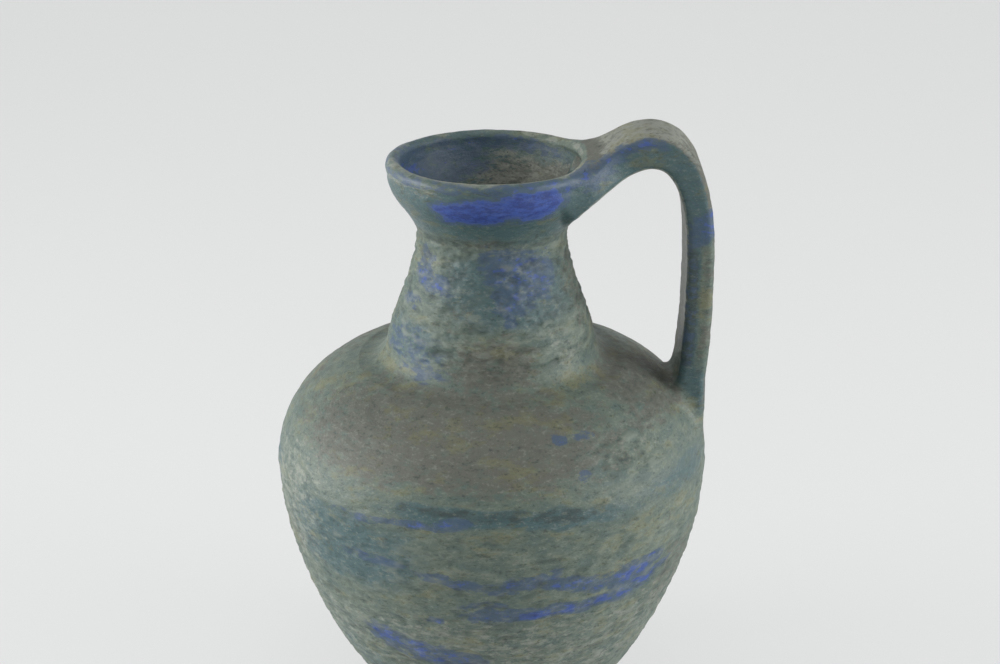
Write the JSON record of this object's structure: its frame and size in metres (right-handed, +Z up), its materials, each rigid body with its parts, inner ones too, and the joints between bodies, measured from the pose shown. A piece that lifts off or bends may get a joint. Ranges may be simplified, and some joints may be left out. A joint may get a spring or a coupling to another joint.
{
  "type": "majolica jug vase",
  "caption": "Round-bellied glazed ceramic jug vase with a tapering neck, a flared collar rim and a strap handle from rim to shoulder, for holding flowers or water.",
  "frame": {"origin": "middle of the foot, on the surface that the vase stands on", "axes": "+Z up along the axis of the vase, +X towards the handle, +Y to the left when looking along +X"},
  "size_m": [0.2016, 0.2016, 0.2813],
  "materials": {
    "belly_glaze": "satin mottled grey-green glaze with blue streaks",
    "shoulder_glaze": "satin mottled taupe and grey-green glaze",
    "neck_glaze": "satin rough grey-green glaze with blue streaks",
    "collar_glaze": "satin teal and blue glaze",
    "handle_glaze": "satin grey-green and taupe glaze"
  },
  "bodies": {
    "root": {"lower_body": "belly_glaze", "shoulder": "shoulder_glaze", "neck": "neck_glaze", "rim_collar": "collar_glaze", "handle": "handle_glaze"}
  },
  "joints": []
}
